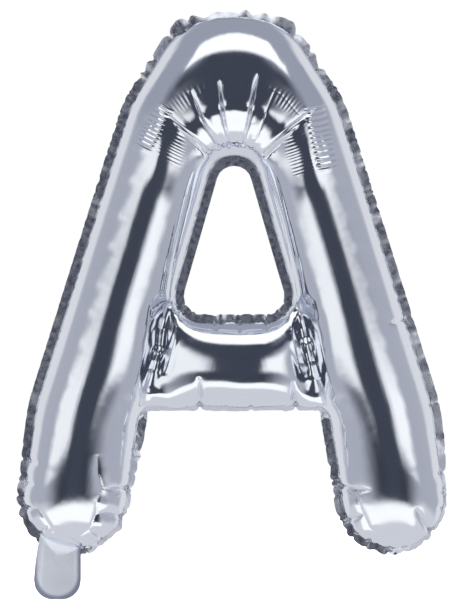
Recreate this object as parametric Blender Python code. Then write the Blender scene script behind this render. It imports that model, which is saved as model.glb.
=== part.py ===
"""Inflated foil balloon in the shape of a capital A, about 35 cm tall, with its filling tail.

Two sheets of metallised film are welded together along the outer edge and round the counter, the
triangular hole of the letter. The air between them blows each sheet up into half of a padded letter,
and the weld stands out round it as a flat band with a puckered edge. The filling tail hangs from the
left foot: two plies of the same film with the flat valve film between them. It folds forwards and
backwards on the line where it leaves the foot.

Metres. +Z is up, the front faces -Y, and X is to the right seen from the front. The origin is on top
of the letter, in the middle of the welded band, where a hanging thread is taped.
"""

import math

import bmesh
import bpy
import numpy as np
from mathutils import Matrix, geometry

# Driving dimensions of the letter, measured to the mean cut edge of the welded band
LETTER_HEIGHT = 0.3500
LETTER_WIDTH = 0.2890
TOP_WIDTH = 0.0770
TOP_CROWN = 0.0082
SHOULDER_WIDTH = 0.1420
SHOULDER_DROP = 0.0585
ANKLE_WIDTH = 0.2640
ANKLE_DROP = 0.2530
FOOT_WIDTH = 0.0750
CROTCH_WIDTH = 0.1100
CROTCH_DIP = 0.0020
CROSSBAR_BOTTOM = 0.2573
CROSSBAR_TOP = 0.1952
COUNTER_TOP = 0.1005
COUNTER_TOP_WIDTH = 0.0172
COUNTER_BASE_WIDTH = 0.0716

# Rounding of the corners of the cut edge
CROWN_RADIUS = 0.0770
TOP_CORNER_RADIUS = 0.0170
SHOULDER_RADIUS = 0.0960
ANKLE_RADIUS = 0.1000
FOOT_RADIUS = 0.0372
CROTCH_RADIUS = 0.0050
COUNTER_TOP_RADIUS = 0.0108
COUNTER_BASE_RADIUS = 0.0120
SMALLEST_RADIUS = 0.0008

# How far the blown-up film may stand off the seam plane, and how sharply it is held there
BULGE_LIMIT = 0.0400
BULGE_POWER = 8

# Welded band and its puckered edge
BAND_WIDTH = 0.0052
BAND_THICKNESS = 0.0005
PUCKER_PITCH = 0.0135
PUCKER_DEPTH = 0.0014
POINTS_PER_PUCKER = 6

# Filling tail and valve
TAIL_CENTRE_X = -0.1130
TAIL_WIDTH = 0.0300
TAIL_FOLD_DROP = 0.3530
TAIL_END_DROP = 0.3775
TAIL_END_RADIUS = 0.0120
TAIL_SQUARE_RADIUS = 0.0005
TAIL_TURN = 0.0008
PLY_THICKNESS = 0.0003
VALVE_WIDTH = 0.0200
VALVE_THICKNESS = 0.0002
VALVE_STEP = 0.0015
VALVE_END_RADIUS = 0.0020
PLY_GAP = 0.0003

# Touching solids keep this gap
GAP = 0.0003

# Fineness of the faceted film
RIM_SPACING = 0.0060
LATTICE_SPACING = 0.0068
RING_DEPTHS = (0.0011, 0.0043, 0.0095)
LATTICE_CLEARANCE = 0.0140
RING_KEEP = 0.97
SHORT_SIDE = 0.05
MERGE_DISTANCE = 1e-7
ARC_STEP = math.radians(15)
SHARP_ANGLE = math.radians(60)

FILM = dict(base=(0.72, 0.74, 0.80, 1.0), roughness=0.10, metallic=1.0)
VALVE = dict(base=(0.80, 0.84, 0.88, 1.0), roughness=0.25, metallic=0.0)


def outer_corners():
    """Corners (x, z, radius) of the letter's cut edge, with the film on the left of the walk."""
    half = [
        (CROTCH_WIDTH / 2, -CROSSBAR_BOTTOM - CROTCH_DIP, CROTCH_RADIUS),
        (LETTER_WIDTH / 2 - FOOT_WIDTH, -LETTER_HEIGHT, FOOT_RADIUS),
        (LETTER_WIDTH / 2, -LETTER_HEIGHT, FOOT_RADIUS),
        (ANKLE_WIDTH / 2, -ANKLE_DROP, ANKLE_RADIUS),
        (SHOULDER_WIDTH / 2, -SHOULDER_DROP, SHOULDER_RADIUS),
        (TOP_WIDTH / 2, TOP_CROWN / 4 - TOP_CROWN, TOP_CORNER_RADIUS),
    ]
    crown = [(0.0, TOP_CROWN / 4, CROWN_RADIUS)]
    mirrored = [(-x, z, radius) for x, z, radius in reversed(half)]
    return half + crown + mirrored


def counter_corners():
    """Corners of the counter's cut edge, walked the other way so that the film stays on the left."""
    top = (COUNTER_TOP_WIDTH / 2, -COUNTER_TOP, COUNTER_TOP_RADIUS)
    base = (COUNTER_BASE_WIDTH / 2, -CROSSBAR_TOP, COUNTER_BASE_RADIUS)
    right = [top, base]
    left = [(-base[0], base[1], base[2]), (-top[0], top[1], top[2])]
    return right + left


def inset_corners(corners, inset):
    """Move every side of the outline into the film by the inset, and correct the corner radii."""
    points = np.array([corner[:2] for corner in corners])
    moved = []
    for index, corner in enumerate(corners):
        before = points[index] - points[index - 1]
        after = points[(index + 1) % len(points)] - points[index]
        before /= np.linalg.norm(before)
        after /= np.linalg.norm(after)
        turn = before[0] * after[1] - before[1] * after[0]
        inward = np.array([-before[1] - after[1], before[0] + after[0]])
        shift = inward * inset / (1 + before @ after)
        radius = corner[2] - inset if turn > 0 else corner[2] + inset
        moved.append((*(points[index] + shift), max(radius, SMALLEST_RADIUS)))
    return moved


def rounded_outline(corners, spacing):
    """Points and outward normals along an outline with rounded corners."""
    points = np.array([corner[:2] for corner in corners])
    stations = []
    normals = []
    for index, corner in enumerate(corners):
        here = points[index]
        before = here - points[index - 1]
        after = points[(index + 1) % len(points)] - here
        before /= np.linalg.norm(before)
        after /= np.linalg.norm(after)
        turn = math.atan2(before[0] * after[1] - before[1] * after[0], before @ after)
        tangent = corner[2] * math.tan(abs(turn) / 2)
        side = 1 if turn > 0 else -1
        centre = here - before * tangent + side * corner[2] * np.array([-before[1], before[0]])
        steps = max(1, round(max(abs(turn) / ARC_STEP, abs(turn) * corner[2] / spacing)))
        start = math.atan2(-side * before[0], side * before[1])
        for step in range(steps + 1):
            angle = start + turn * step / steps
            outward = np.array([math.cos(angle), math.sin(angle)])
            stations.append(centre + corner[2] * outward)
            normals.append(side * outward)
    return fill_sides(np.array(stations), np.array(normals), spacing)


def fill_sides(stations, normals, spacing):
    """Add evenly spaced points on the straight sides between the rounded corners."""
    filled = []
    outward = []
    for index in range(len(stations)):
        start, end = stations[index], stations[(index + 1) % len(stations)]
        first, last = normals[index], normals[(index + 1) % len(stations)]
        length = np.linalg.norm(end - start)
        if length < spacing * SHORT_SIDE:
            continue
        steps = max(1, round(length / spacing))
        for step in range(steps):
            share = step / steps
            normal = first * (1 - share) + last * share
            filled.append(start * (1 - share) + end * share)
            outward.append(normal / np.linalg.norm(normal))
    return np.array(filled), np.array(outward)


def rim_loops():
    """The two closed lines where the blown-up film meets the weld, with their outward normals."""
    outer = rounded_outline(inset_corners(outer_corners(), BAND_WIDTH), RIM_SPACING)
    counter = rounded_outline(inset_corners(counter_corners(), BAND_WIDTH), RIM_SPACING)
    return outer, counter


def distance_to_loop(points, loop):
    """Shortest distance from each point to a closed line."""
    start = loop
    step = np.roll(loop, -1, axis=0) - loop
    offset = points[:, None, :] - start[None, :, :]
    share = np.clip((offset * step).sum(axis=2) / (step * step).sum(axis=1), 0.0, 1.0)
    gap = offset - share[:, :, None] * step[None, :, :]
    return np.sqrt((gap * gap).sum(axis=2)).min(axis=1)


def inside_loop(points, loop):
    """Which points lie inside a closed line, by counting the sides crossed to their right."""
    x, z = points[:, 0, None], points[:, 1, None]
    x0, z0 = loop[:, 0], loop[:, 1]
    x1, z1 = np.roll(x0, -1), np.roll(z0, -1)
    spans = (z0 > z) != (z1 > z)
    rise = np.where(z1 == z0, 1.0, z1 - z0)
    crossing = x0 + (z - z0) * (x1 - x0) / rise
    return (spans & (crossing > x)).sum(axis=1) % 2 == 1


def film_points(outer, counter):
    """Rim points, three rows close behind the rim, and an even lattice over the rest of the letter."""
    rows = [outer[0], counter[0]]
    for depth in RING_DEPTHS:
        for rim, normals in (outer, counter):
            row = rim - normals * depth
            clear = np.minimum(distance_to_loop(row, outer[0]), distance_to_loop(row, counter[0]))
            rows.append(row[clear > depth * RING_KEEP])
    low, high = outer[0].min(axis=0), outer[0].max(axis=0)
    row_height = LATTICE_SPACING * math.sqrt(0.75)
    lattice = []
    for row in range(int((high[1] - low[1]) / row_height) + 1):
        z = high[1] - row * row_height
        first = 0.0 if row % 2 == 0 else LATTICE_SPACING / 2
        count = int((high[0] - first) / LATTICE_SPACING) + 1
        for column in range(-count - 1, count + 1):
            lattice.append((first + column * LATTICE_SPACING, z))
    lattice = np.array(lattice)
    clear = np.minimum(distance_to_loop(lattice, outer[0]), distance_to_loop(lattice, counter[0]))
    inside = inside_loop(lattice, outer[0]) & ~inside_loop(lattice, counter[0])
    rows.append(lattice[inside & (clear > LATTICE_CLEARANCE)])
    return np.concatenate(rows)


def letter_triangles(points, outer_count, counter_count):
    """Triangles over the letter, bounded by the outer rim and open over the counter."""
    outer_sides = [(index, (index + 1) % outer_count) for index in range(outer_count)]
    counter_sides = [
        (outer_count + index, outer_count + (index + 1) % counter_count) for index in range(counter_count)
    ]
    found = geometry.delaunay_2d_cdt(
        [tuple(point) for point in points], outer_sides + counter_sides, [], 1, MERGE_DISTANCE
    )
    corners = np.array([tuple(corner) for corner in found[0]])
    triangles = np.array([tuple(face) for face in found[2]])
    middles = corners[triangles].mean(axis=1)
    outer_rim = points[:outer_count]
    counter_rim = points[outer_count:outer_count + counter_count]
    keep = inside_loop(middles, outer_rim) & ~inside_loop(middles, counter_rim)
    return corners, triangles[keep]


def film_bulge(corners, triangles, rim_count):
    """How far the film stands off the seam plane: a strip blows up to a half circle across its width.

    The square of the height follows Poisson's equation over the letter, with zero along the rim. The
    film doesn't stretch, so where the strokes meet it stays flatter than that, under BULGE_LIMIT.
    """
    a, b, c = (corners[triangles[:, index]] for index in range(3))
    area = ((b - a)[:, 0] * (c - a)[:, 1] - (b - a)[:, 1] * (c - a)[:, 0]) / 2
    edges = np.stack([c - b, a - c, b - a], axis=1)
    stiffness = np.zeros((len(corners), len(corners)))
    load = np.zeros(len(corners))
    for row in range(3):
        np.add.at(load, triangles[:, row], abs(area) / 3)
        for column in range(3):
            value = (edges[:, row] * edges[:, column]).sum(axis=1) / (4 * abs(area))
            np.add.at(stiffness, (triangles[:, row], triangles[:, column]), value)
    free = np.arange(rim_count, len(corners))
    pressure = np.zeros(len(corners))
    pressure[free] = np.linalg.solve(stiffness[np.ix_(free, free)], load[free])
    height = np.sqrt(2 * np.clip(pressure, 0.0, None))
    return height / (1 + (height / BULGE_LIMIT) ** BULGE_POWER) ** (1 / BULGE_POWER)


def material(name, look):
    surface = bpy.data.materials.new(name)
    surface.use_nodes = True
    shader = surface.node_tree.nodes["Principled BSDF"]
    shader.inputs["Base Color"].default_value = look["base"]
    shader.inputs["Roughness"].default_value = look["roughness"]
    shader.inputs["Metallic"].default_value = look["metallic"]
    surface.diffuse_color = look["base"]
    return surface


def add_object(name, data, collection, look):
    thing = bpy.data.objects.new(name, data)
    thing.data.materials.append(material(name, look))
    collection.objects.link(thing)
    return thing


def foil_panel(name, side, outline, film, collection):
    """One blown-up sheet: the domed film closed by a flat face just off the seam plane."""
    corners, triangles, heights = film
    rim_count = sum(len(points) for points in outline)
    rim = corners[:rim_count]
    base_corners, base = letter_triangles(rim, len(outline[0]), len(outline[1]))
    assert len(base_corners) == rim_count
    shape = bmesh.new()
    for (x, z), height in zip(corners, heights):
        shape.verts.new((x, side * (GAP / 2 + height), z))
    shape.verts.ensure_lookup_table()
    for triangle in list(triangles) + list(base[:, ::-1]):
        shape.faces.new([shape.verts[index] for index in triangle])
    bmesh.ops.recalc_face_normals(shape, faces=shape.faces[:])
    mesh = bpy.data.meshes.new(name)
    shape.to_mesh(mesh)
    shape.free()
    mesh.shade_smooth()
    mesh.set_sharp_from_angle(angle=SHARP_ANGLE)
    return add_object(name, mesh, collection, FILM)


def flat_piece(name, loops, thickness, y, collection, look):
    """A flat cut piece of film, standing in the letter's plane at the given depth."""
    curve = bpy.data.curves.new(name, "CURVE")
    curve.dimensions = "2D"
    curve.fill_mode = "BOTH"
    curve.extrude = thickness / 2
    for loop in loops:
        spline = curve.splines.new("POLY")
        spline.points.add(len(loop) - 1)
        for point, (x, z) in zip(spline.points, loop):
            point.co = (x, z, 0.0, 1.0)
        spline.use_cyclic_u = True
    piece = add_object(name, curve, collection, look)
    piece.matrix_world = Matrix.Translation((0.0, y, 0.0)) @ Matrix.Rotation(math.radians(90), 4, "X")
    return piece


def puckered_edge(rim, normals):
    """The band's cut edge: small round lobes side by side along the rim."""
    steps = np.linalg.norm(np.roll(rim, -1, axis=0) - rim, axis=1)
    length = steps.sum()
    lobes = round(length / PUCKER_PITCH)
    marks = np.concatenate([[0.0], np.cumsum(steps)])
    count = lobes * POINTS_PER_PUCKER
    edge = []
    for index in range(count):
        along = length * index / count
        side = min(np.searchsorted(marks, along, side="right") - 1, len(rim) - 1)
        share = (along - marks[side]) / steps[side]
        following = (side + 1) % len(rim)
        place = rim[side] * (1 - share) + rim[following] * share
        normal = normals[side] * (1 - share) + normals[following] * share
        lobe = abs(math.sin(math.pi * index / POINTS_PER_PUCKER))
        width = BAND_WIDTH + PUCKER_DEPTH * (lobe - 0.5)
        edge.append(place + normal * width)
    return np.array(edge)


def with_tail_root(edge):
    """Let the outer band run down to the fold line of the tail, square across the tail's width."""
    left = TAIL_CENTRE_X - TAIL_WIDTH / 2
    right = TAIL_CENTRE_X + TAIL_WIDTH / 2
    below = edge[:, 1] < -ANKLE_DROP
    across = (edge[:, 0] > left) & (edge[:, 0] < right)
    cut = np.flatnonzero(below & across)
    fold = -TAIL_FOLD_DROP + TAIL_TURN / 2
    rolled = np.roll(edge[~(below & across)], -cut[0], axis=0)
    stub = np.array([(left, fold), (right, fold)])
    if rolled[-1][0] > rolled[0][0]:
        stub = stub[::-1]
    return np.concatenate([rolled, stub])


def welded_bands(outer, counter, collection):
    """The flat weld round the letter and the one round its counter."""
    for name, (rim, normals), root in (
        ("outer_seam_band", outer, True),
        ("counter_seam_band", counter, False),
    ):
        inner_edge = rim + normals * GAP
        cut_edge = puckered_edge(rim, normals)
        if root:
            cut_edge = with_tail_root(cut_edge)
        flat_piece(name, [cut_edge, inner_edge], BAND_THICKNESS, 0.0, collection, FILM)


def tail_strip(width, top, end, radius):
    """Outline of a strip that hangs from the fold line and ends round."""
    left = TAIL_CENTRE_X - width / 2
    right = TAIL_CENTRE_X + width / 2
    corners = [
        (left, top, TAIL_SQUARE_RADIUS),
        (left, end, radius),
        (right, end, radius),
        (right, top, TAIL_SQUARE_RADIUS),
    ]
    return rounded_outline(corners, RIM_SPACING)[0]


def filling_tail(collection):
    """Two plies of film with the valve film between them, all turning on the fold line."""
    hinge = bpy.data.objects.new("tail_fold", None)
    hinge.location = (TAIL_CENTRE_X, 0.0, -TAIL_FOLD_DROP)
    collection.objects.link(hinge)
    bpy.context.view_layer.update()
    top = -TAIL_FOLD_DROP - TAIL_TURN / 2
    ply = tail_strip(TAIL_WIDTH, top, -TAIL_END_DROP, TAIL_END_RADIUS)
    valve = tail_strip(VALVE_WIDTH, top, -TAIL_END_DROP + VALVE_STEP, VALVE_END_RADIUS)
    ply_y = VALVE_THICKNESS / 2 + PLY_GAP + PLY_THICKNESS / 2
    pieces = [
        flat_piece("filling_tail_front", [ply], PLY_THICKNESS, -ply_y, collection, FILM),
        flat_piece("filling_tail_back", [ply], PLY_THICKNESS, ply_y, collection, FILM),
        flat_piece("valve_film", [valve], VALVE_THICKNESS, 0.0, collection, VALVE),
    ]
    for piece in pieces:
        place = piece.matrix_world.copy()
        piece.parent = hinge
        piece.matrix_parent_inverse = hinge.matrix_world.inverted()
        piece.matrix_world = place


def build():
    for thing in list(bpy.data.objects):
        bpy.data.objects.remove(thing)
    balloon = bpy.data.collections.new("letter_a_foil_balloon")
    bpy.context.scene.collection.children.link(balloon)
    outer, counter = rim_loops()
    outline = (outer[0], counter[0])
    points = film_points(outer, counter)
    corners, triangles = letter_triangles(points, len(outer[0]), len(counter[0]))
    heights = film_bulge(corners, triangles, len(outer[0]) + len(counter[0]))
    film = (corners, triangles, heights)
    foil_panel("front_foil_panel", -1, outline, film, balloon)
    foil_panel("back_foil_panel", 1, outline, film, balloon)
    welded_bands(outer, counter, balloon)
    filling_tail(balloon)


build()
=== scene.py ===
"""Looks of the letter A foil balloon: two films blown up by simulation, their welds, and the filling tail.

The letter starts as a smooth padded shape on the part's own outline. Each edge of its mesh then gets the
length that the real flat film has there: a little too long along the welds, the feet and the top, where a
balloon puckers, and just right on the smooth legs. A pressure simulation lets the spare film buckle.

Metres. +Z is up, the front faces -Y, and the origin is on top of the letter.
"""

import math

import bpy
import numpy as np
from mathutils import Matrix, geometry, kdtree


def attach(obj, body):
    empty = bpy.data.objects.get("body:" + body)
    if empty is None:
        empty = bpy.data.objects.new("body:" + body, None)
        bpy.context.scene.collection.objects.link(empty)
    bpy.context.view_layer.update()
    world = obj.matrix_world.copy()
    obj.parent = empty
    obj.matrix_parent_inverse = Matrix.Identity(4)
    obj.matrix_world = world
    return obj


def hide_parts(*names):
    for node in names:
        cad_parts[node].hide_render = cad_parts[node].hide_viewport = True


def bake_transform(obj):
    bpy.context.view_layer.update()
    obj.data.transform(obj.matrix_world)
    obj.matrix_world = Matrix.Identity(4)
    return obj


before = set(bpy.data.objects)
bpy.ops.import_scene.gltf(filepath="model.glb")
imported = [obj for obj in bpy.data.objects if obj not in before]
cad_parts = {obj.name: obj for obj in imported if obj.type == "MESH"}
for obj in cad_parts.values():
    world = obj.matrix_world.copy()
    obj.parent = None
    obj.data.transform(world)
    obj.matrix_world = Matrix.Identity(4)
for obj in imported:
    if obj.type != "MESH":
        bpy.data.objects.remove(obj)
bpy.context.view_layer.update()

# Driving dimensions of the letter, measured to the mean cut edge of the welded band
LETTER_HEIGHT = 0.3500
LETTER_WIDTH = 0.2890
TOP_WIDTH = 0.0770
TOP_CROWN = 0.0082
SHOULDER_WIDTH = 0.1420
SHOULDER_DROP = 0.0585
ANKLE_WIDTH = 0.2640
ANKLE_DROP = 0.2530
FOOT_WIDTH = 0.0750
CROTCH_WIDTH = 0.1100
CROTCH_DIP = 0.0020
CROSSBAR_BOTTOM = 0.2573
CROSSBAR_TOP = 0.1952
COUNTER_TOP = 0.1005
COUNTER_TOP_WIDTH = 0.0172
COUNTER_BASE_WIDTH = 0.0716
CROWN_RADIUS = 0.0770
TOP_CORNER_RADIUS = 0.0170
SHOULDER_RADIUS = 0.0960
ANKLE_RADIUS = 0.1000
FOOT_RADIUS = 0.0372
CROTCH_RADIUS = 0.0050
COUNTER_TOP_RADIUS = 0.0108
COUNTER_BASE_RADIUS = 0.0120
SMALLEST_RADIUS = 0.0008
BAND_WIDTH = 0.0052
TOP_FILM_RADIUS = 0.0480
BULGE_LIMIT = 0.0400
BULGE_POWER = 8
CROSSBAR_LIMIT = 0.0300

# Mesh of the film: rings follow the weld, and a triangle lattice fills the rest
SPACING = 0.0054
TUBE_RADIUS = 0.0300
RING_COUNT = 5
RING_KEEP = 0.97
LATTICE_CLEARANCE = 0.0143
MERGE_DISTANCE = 1e-7
LEVELS = 3
FOLD_REACHES = (0.0036, 0.0018)

# Simulation of the film under pressure
STEPS = (220, 90)
PRESSURE = 2.5e-6
DAMPING = 0.96
COMPRESSION_SHARE = 0.5
BEND_SHARE = 0.12
BAND_BEND_SHARE = 0.60
FLAT = 1e-5
CALM_GUIDE = 0.03
FREE_GUIDE = 0.004
FREE_AT = 0.03
BAND_GUIDE = 0.05


# Outline of the letter

def outer_corners():
    """Corners (x, z, radius) of the letter's cut edge, with the film on the left of the walk."""
    half = [
        (CROTCH_WIDTH / 2, -CROSSBAR_BOTTOM - CROTCH_DIP, CROTCH_RADIUS),
        (LETTER_WIDTH / 2 - FOOT_WIDTH, -LETTER_HEIGHT, FOOT_RADIUS),
        (LETTER_WIDTH / 2, -LETTER_HEIGHT, FOOT_RADIUS),
        (ANKLE_WIDTH / 2, -ANKLE_DROP, ANKLE_RADIUS),
        (SHOULDER_WIDTH / 2, -SHOULDER_DROP, SHOULDER_RADIUS),
        (TOP_WIDTH / 2, TOP_CROWN / 4 - TOP_CROWN, TOP_CORNER_RADIUS),
    ]
    crown = [(0.0, TOP_CROWN / 4, CROWN_RADIUS)]
    mirrored = [(-x, z, radius) for x, z, radius in reversed(half)]
    return half + crown + mirrored


def counter_corners():
    """Corners of the counter's cut edge, walked the other way so that the film stays on the left."""
    top = (COUNTER_TOP_WIDTH / 2, -COUNTER_TOP, COUNTER_TOP_RADIUS)
    base = (COUNTER_BASE_WIDTH / 2, -CROSSBAR_TOP, COUNTER_BASE_RADIUS)
    left = [(-base[0], base[1], base[2]), (-top[0], top[1], top[2])]
    return [top, base] + left


def unit(vectors):
    return vectors / np.linalg.norm(vectors, axis=-1, keepdims=True)


def inset_corners(corners, inset):
    """Move every side of the outline into the film by the inset, and correct the corner radii."""
    points = np.array([corner[:2] for corner in corners])
    moved = []
    for index, corner in enumerate(corners):
        before = unit(points[index] - points[index - 1])
        after = unit(points[(index + 1) % len(points)] - points[index])
        turn = before[0] * after[1] - before[1] * after[0]
        inward = np.array([-before[1] - after[1], before[0] + after[0]])
        shift = inward * inset / (1 + before @ after)
        radius = corner[2] - inset if turn > 0 else corner[2] + inset
        moved.append((*(points[index] + shift), max(radius, SMALLEST_RADIUS)))
    return moved


def rounded_loop(corners, spacing):
    """Evenly spaced points and outward normals along an outline with rounded corners."""
    points = np.array([corner[:2] for corner in corners])
    places = []
    normals = []
    for index, corner in enumerate(corners):
        before = unit(points[index] - points[index - 1])
        after = unit(points[(index + 1) % len(points)] - points[index])
        turn = math.atan2(before[0] * after[1] - before[1] * after[0], before @ after)
        side = 1 if turn > 0 else -1
        left = np.array([-before[1], before[0]])
        centre = points[index] - before * corner[2] * math.tan(abs(turn) / 2) + side * corner[2] * left
        angles = math.atan2(-side * before[0], side * before[1]) + turn * np.linspace(0, 1, 25)
        outward = np.stack([np.cos(angles), np.sin(angles)], axis=1)
        places.append(centre + corner[2] * outward)
        normals.append(side * outward)
    places = np.concatenate(places)
    normals = np.concatenate(normals)
    closed = np.concatenate([places, places[:1]])
    closed_normals = np.concatenate([normals, normals[:1]])
    marks = np.concatenate([[0.0], np.cumsum(np.linalg.norm(np.diff(closed, axis=0), axis=1))])
    count = round(marks[-1] / spacing)
    at = np.arange(count) * marks[-1] / count
    even = np.stack([np.interp(at, marks, closed[:, axis]) for axis in (0, 1)], axis=1)
    even_normals = np.stack([np.interp(at, marks, closed_normals[:, axis]) for axis in (0, 1)], axis=1)
    return even, unit(even_normals)


def film_corners(loop):
    """Corners of the line where the blown-up film meets the weld. It rounds the top more than the cut."""
    if loop == "counter":
        return inset_corners(counter_corners(), BAND_WIDTH)
    rounded = []
    for x, z, radius in outer_corners():
        rounded.append((x, z, TOP_FILM_RADIUS if radius == TOP_CORNER_RADIUS else radius))
    return inset_corners(rounded, BAND_WIDTH)


# Places in the photograph

PIXEL_SIZE = 0.00064
ORIGIN_COLUMN = 234
ORIGIN_ROW = 9


def pixel(column, row):
    """A place in the seam plane from a pixel of the photograph."""
    return np.array([(column - ORIGIN_COLUMN) * PIXEL_SIZE, (ORIGIN_ROW - row) * PIXEL_SIZE])


def path_of(pixels):
    return [pixel(*place) for place in pixels]


def path_position(points, path):
    """Distance from each point to an open line, and how far along the line, from 0 to 1, its foot is."""
    lengths = np.array([np.linalg.norm(end - start) for start, end in zip(path[:-1], path[1:])])
    marks = np.concatenate([[0.0], np.cumsum(lengths)])
    nearest = np.full(len(points), np.inf)
    along = np.zeros(len(points))
    for number, (start, end) in enumerate(zip(path[:-1], path[1:])):
        step = end - start
        share = np.clip((points - start) @ step / (step @ step), 0, 1)
        away = np.linalg.norm(points - start - share[:, None] * step, axis=1)
        along = np.where(away < nearest, (marks[number] + share * lengths[number]) / marks[-1], along)
        nearest = np.minimum(nearest, away)
    return nearest, along


# Flat mesh of the letter

# Valleys where the crossbar's pillow meets the legs, from the counter's corner to the crotch
VALLEYS = (
    ((164, 312), (161, 332), (160, 350), (154, 370), (146, 402)),
    ((301, 310), (304, 332), (307, 352), (312, 372), (320, 404)),
)
VALLEY_FLOOR = 0.0120
VALLEY_PIT = 0.06
VALLEY_RISE = 0.0060
VALLEY_CLEARANCE = 0.75


def valley_points(outer, counter):
    """Evenly spaced points along each valley, clear of both rims, with the film's height there."""
    lines = []
    for pixels in VALLEYS:
        path = np.array(path_of(pixels))
        marks = np.concatenate([[0.0], np.cumsum(np.linalg.norm(np.diff(path, axis=0), axis=1))])
        at = np.linspace(0, marks[-1], round(marks[-1] / SPACING) + 1)
        line = np.stack([np.interp(at, marks, path[:, axis]) for axis in (0, 1)], axis=1)
        clear = np.minimum(distance_to_loop(line, outer), distance_to_loop(line, counter))
        rise = np.sqrt(1 - (1 - np.clip(clear / VALLEY_RISE, 0, 1)) ** 2)
        pit = 1 - VALLEY_PIT * np.exp(-((at / marks[-1] - 0.45) / 0.16) ** 2)
        keep = clear > VALLEY_CLEARANCE * SPACING
        lines.append((line[keep], (VALLEY_FLOOR * pit * rise)[keep]))
    return lines


def distance_to_loop(points, loop):
    """Shortest distance from each point to a closed line."""
    step = np.roll(loop, -1, axis=0) - loop
    offset = points[:, None, :] - loop[None, :, :]
    share = np.clip((offset * step).sum(axis=2) / (step * step).sum(axis=1), 0.0, 1.0)
    gap = offset - share[:, :, None] * step[None, :, :]
    return np.sqrt((gap * gap).sum(axis=2)).min(axis=1)


def inside_loop(points, loop):
    """Which points lie inside a closed line, by counting the sides crossed to their right."""
    x, z = points[:, 0, None], points[:, 1, None]
    x0, z0 = loop[:, 0], loop[:, 1]
    x1, z1 = np.roll(x0, -1), np.roll(z0, -1)
    spans = (z0 > z) != (z1 > z)
    rise = np.where(z1 == z0, 1.0, z1 - z0)
    crossing = x0 + (z - z0) * (x1 - x0) / rise
    return (spans & (crossing > x)).sum(axis=1) % 2 == 1


def film_points(outer, counter):
    """Rim points, rings that are evenly spaced once the film is round, and a lattice between them."""
    rows = [outer[0], counter[0]]
    for ring in range(1, RING_COUNT + 1):
        depth = TUBE_RADIUS * (1 - math.cos(ring * SPACING / TUBE_RADIUS))
        for rim, normals in (outer, counter):
            row = rim - normals * depth
            clear = np.minimum(distance_to_loop(row, outer[0]), distance_to_loop(row, counter[0]))
            rows.append(row[clear > depth * RING_KEEP])
    low, high = outer[0].min(axis=0), outer[0].max(axis=0)
    row_height = SPACING * math.sqrt(0.75)
    lattice = []
    for row in range(int((high[1] - low[1]) / row_height) + 1):
        first = 0.0 if row % 2 == 0 else SPACING / 2
        count = int((high[0] - first) / SPACING) + 1
        for column in range(-count - 1, count + 1):
            lattice.append((first + column * SPACING, high[1] - row * row_height))
    lattice = np.array(lattice)
    clear = np.minimum(distance_to_loop(lattice, outer[0]), distance_to_loop(lattice, counter[0]))
    inside = inside_loop(lattice, outer[0]) & ~inside_loop(lattice, counter[0])
    rows.append(lattice[inside & (clear > LATTICE_CLEARANCE)])
    rim_count = len(outer[0]) + len(counter[0])
    filling = np.concatenate(rows)[rim_count:]
    lines = [line for line, _ in valley_points(outer[0], counter[0])]
    for line in lines:
        filling = filling[path_position(filling, list(line))[0] > VALLEY_CLEARANCE * SPACING]
    return np.concatenate([outer[0], counter[0], *lines, filling])


def letter_triangles(points, outer_count, counter_count, valley_counts):
    """Triangles over the letter, bounded by the outer rim and open over the counter."""
    outer_sides = [(index, (index + 1) % outer_count) for index in range(outer_count)]
    counter_sides = [
        (outer_count + index, outer_count + (index + 1) % counter_count) for index in range(counter_count)
    ]
    valley_sides = []
    first = outer_count + counter_count
    for count in valley_counts:
        valley_sides += [(first + index, first + index + 1) for index in range(count - 1)]
        first += count
    sides = outer_sides + counter_sides + valley_sides
    found = geometry.delaunay_2d_cdt([tuple(point) for point in points], sides, [], 1, MERGE_DISTANCE)
    corners = np.array([tuple(corner) for corner in found[0]])
    triangles = np.array([tuple(face) for face in found[2]])
    middles = corners[triangles].mean(axis=1)
    outer_rim = points[:outer_count]
    counter_rim = points[outer_count:outer_count + counter_count]
    keep = inside_loop(middles, outer_rim) & ~inside_loop(middles, counter_rim)
    return corners, triangles[keep]


# The legs are a little fuller on their outer side, and taper in depth towards the feet
LEG_AXIS = ((151, 200), (78, 450))
LEG_RADIUS = 0.0330
LEG_SKEW = 0.050
FOOT_TAPER = 0.12
TAPER_TOP = -0.2500
TAPER_LENGTH = 0.0600


# The crossbar's pillow is highest a little right of its middle and slopes down to the valleys
PILLOW_CENTRE = 0.0110
PILLOW_HALF = 0.0400
PILLOW_SLOPE = 0.23
PILLOW_POWER = 2.4
PILLOW_EDGE = 0.0465
PILLOW_FADE = 0.0110


def pillow_shape(x, z):
    across = (x - PILLOW_CENTRE * (1 - abs(x) / PILLOW_EDGE)) / PILLOW_HALF
    fade = np.clip((PILLOW_EDGE + PILLOW_FADE - abs(x)) / PILLOW_FADE, 0, 1)
    fade = fade * np.clip((-0.192 - z) / 0.030, 0, 1) * np.clip((z + 0.275) / 0.018, 0, 1)
    return 1 - PILLOW_SLOPE * np.minimum(abs(across) ** PILLOW_POWER, 1.5) * fade


def leg_shape(x, z):
    high, low = (pixel(*place) for place in LEG_AXIS)
    axis = high[0] + (z - high[1]) * (low[0] - high[0]) / (low[1] - high[1])
    outer = np.clip((abs(x) + axis) / LEG_RADIUS, -1, 1) * np.clip((-0.060 - z) / 0.050, 0, 1)
    inner = np.clip((0.1190 - abs(x)) / 0.030, -0.5, 1.2)
    top = np.where(x < 0, TAPER_TOP + 0.004, TAPER_TOP - 0.003) + 0.011 * inner
    taper = FOOT_TAPER * np.clip((top - z) / TAPER_LENGTH, 0, 2) ** 1.5
    return (1 + LEG_SKEW * outer) * (1 - taper)


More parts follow.
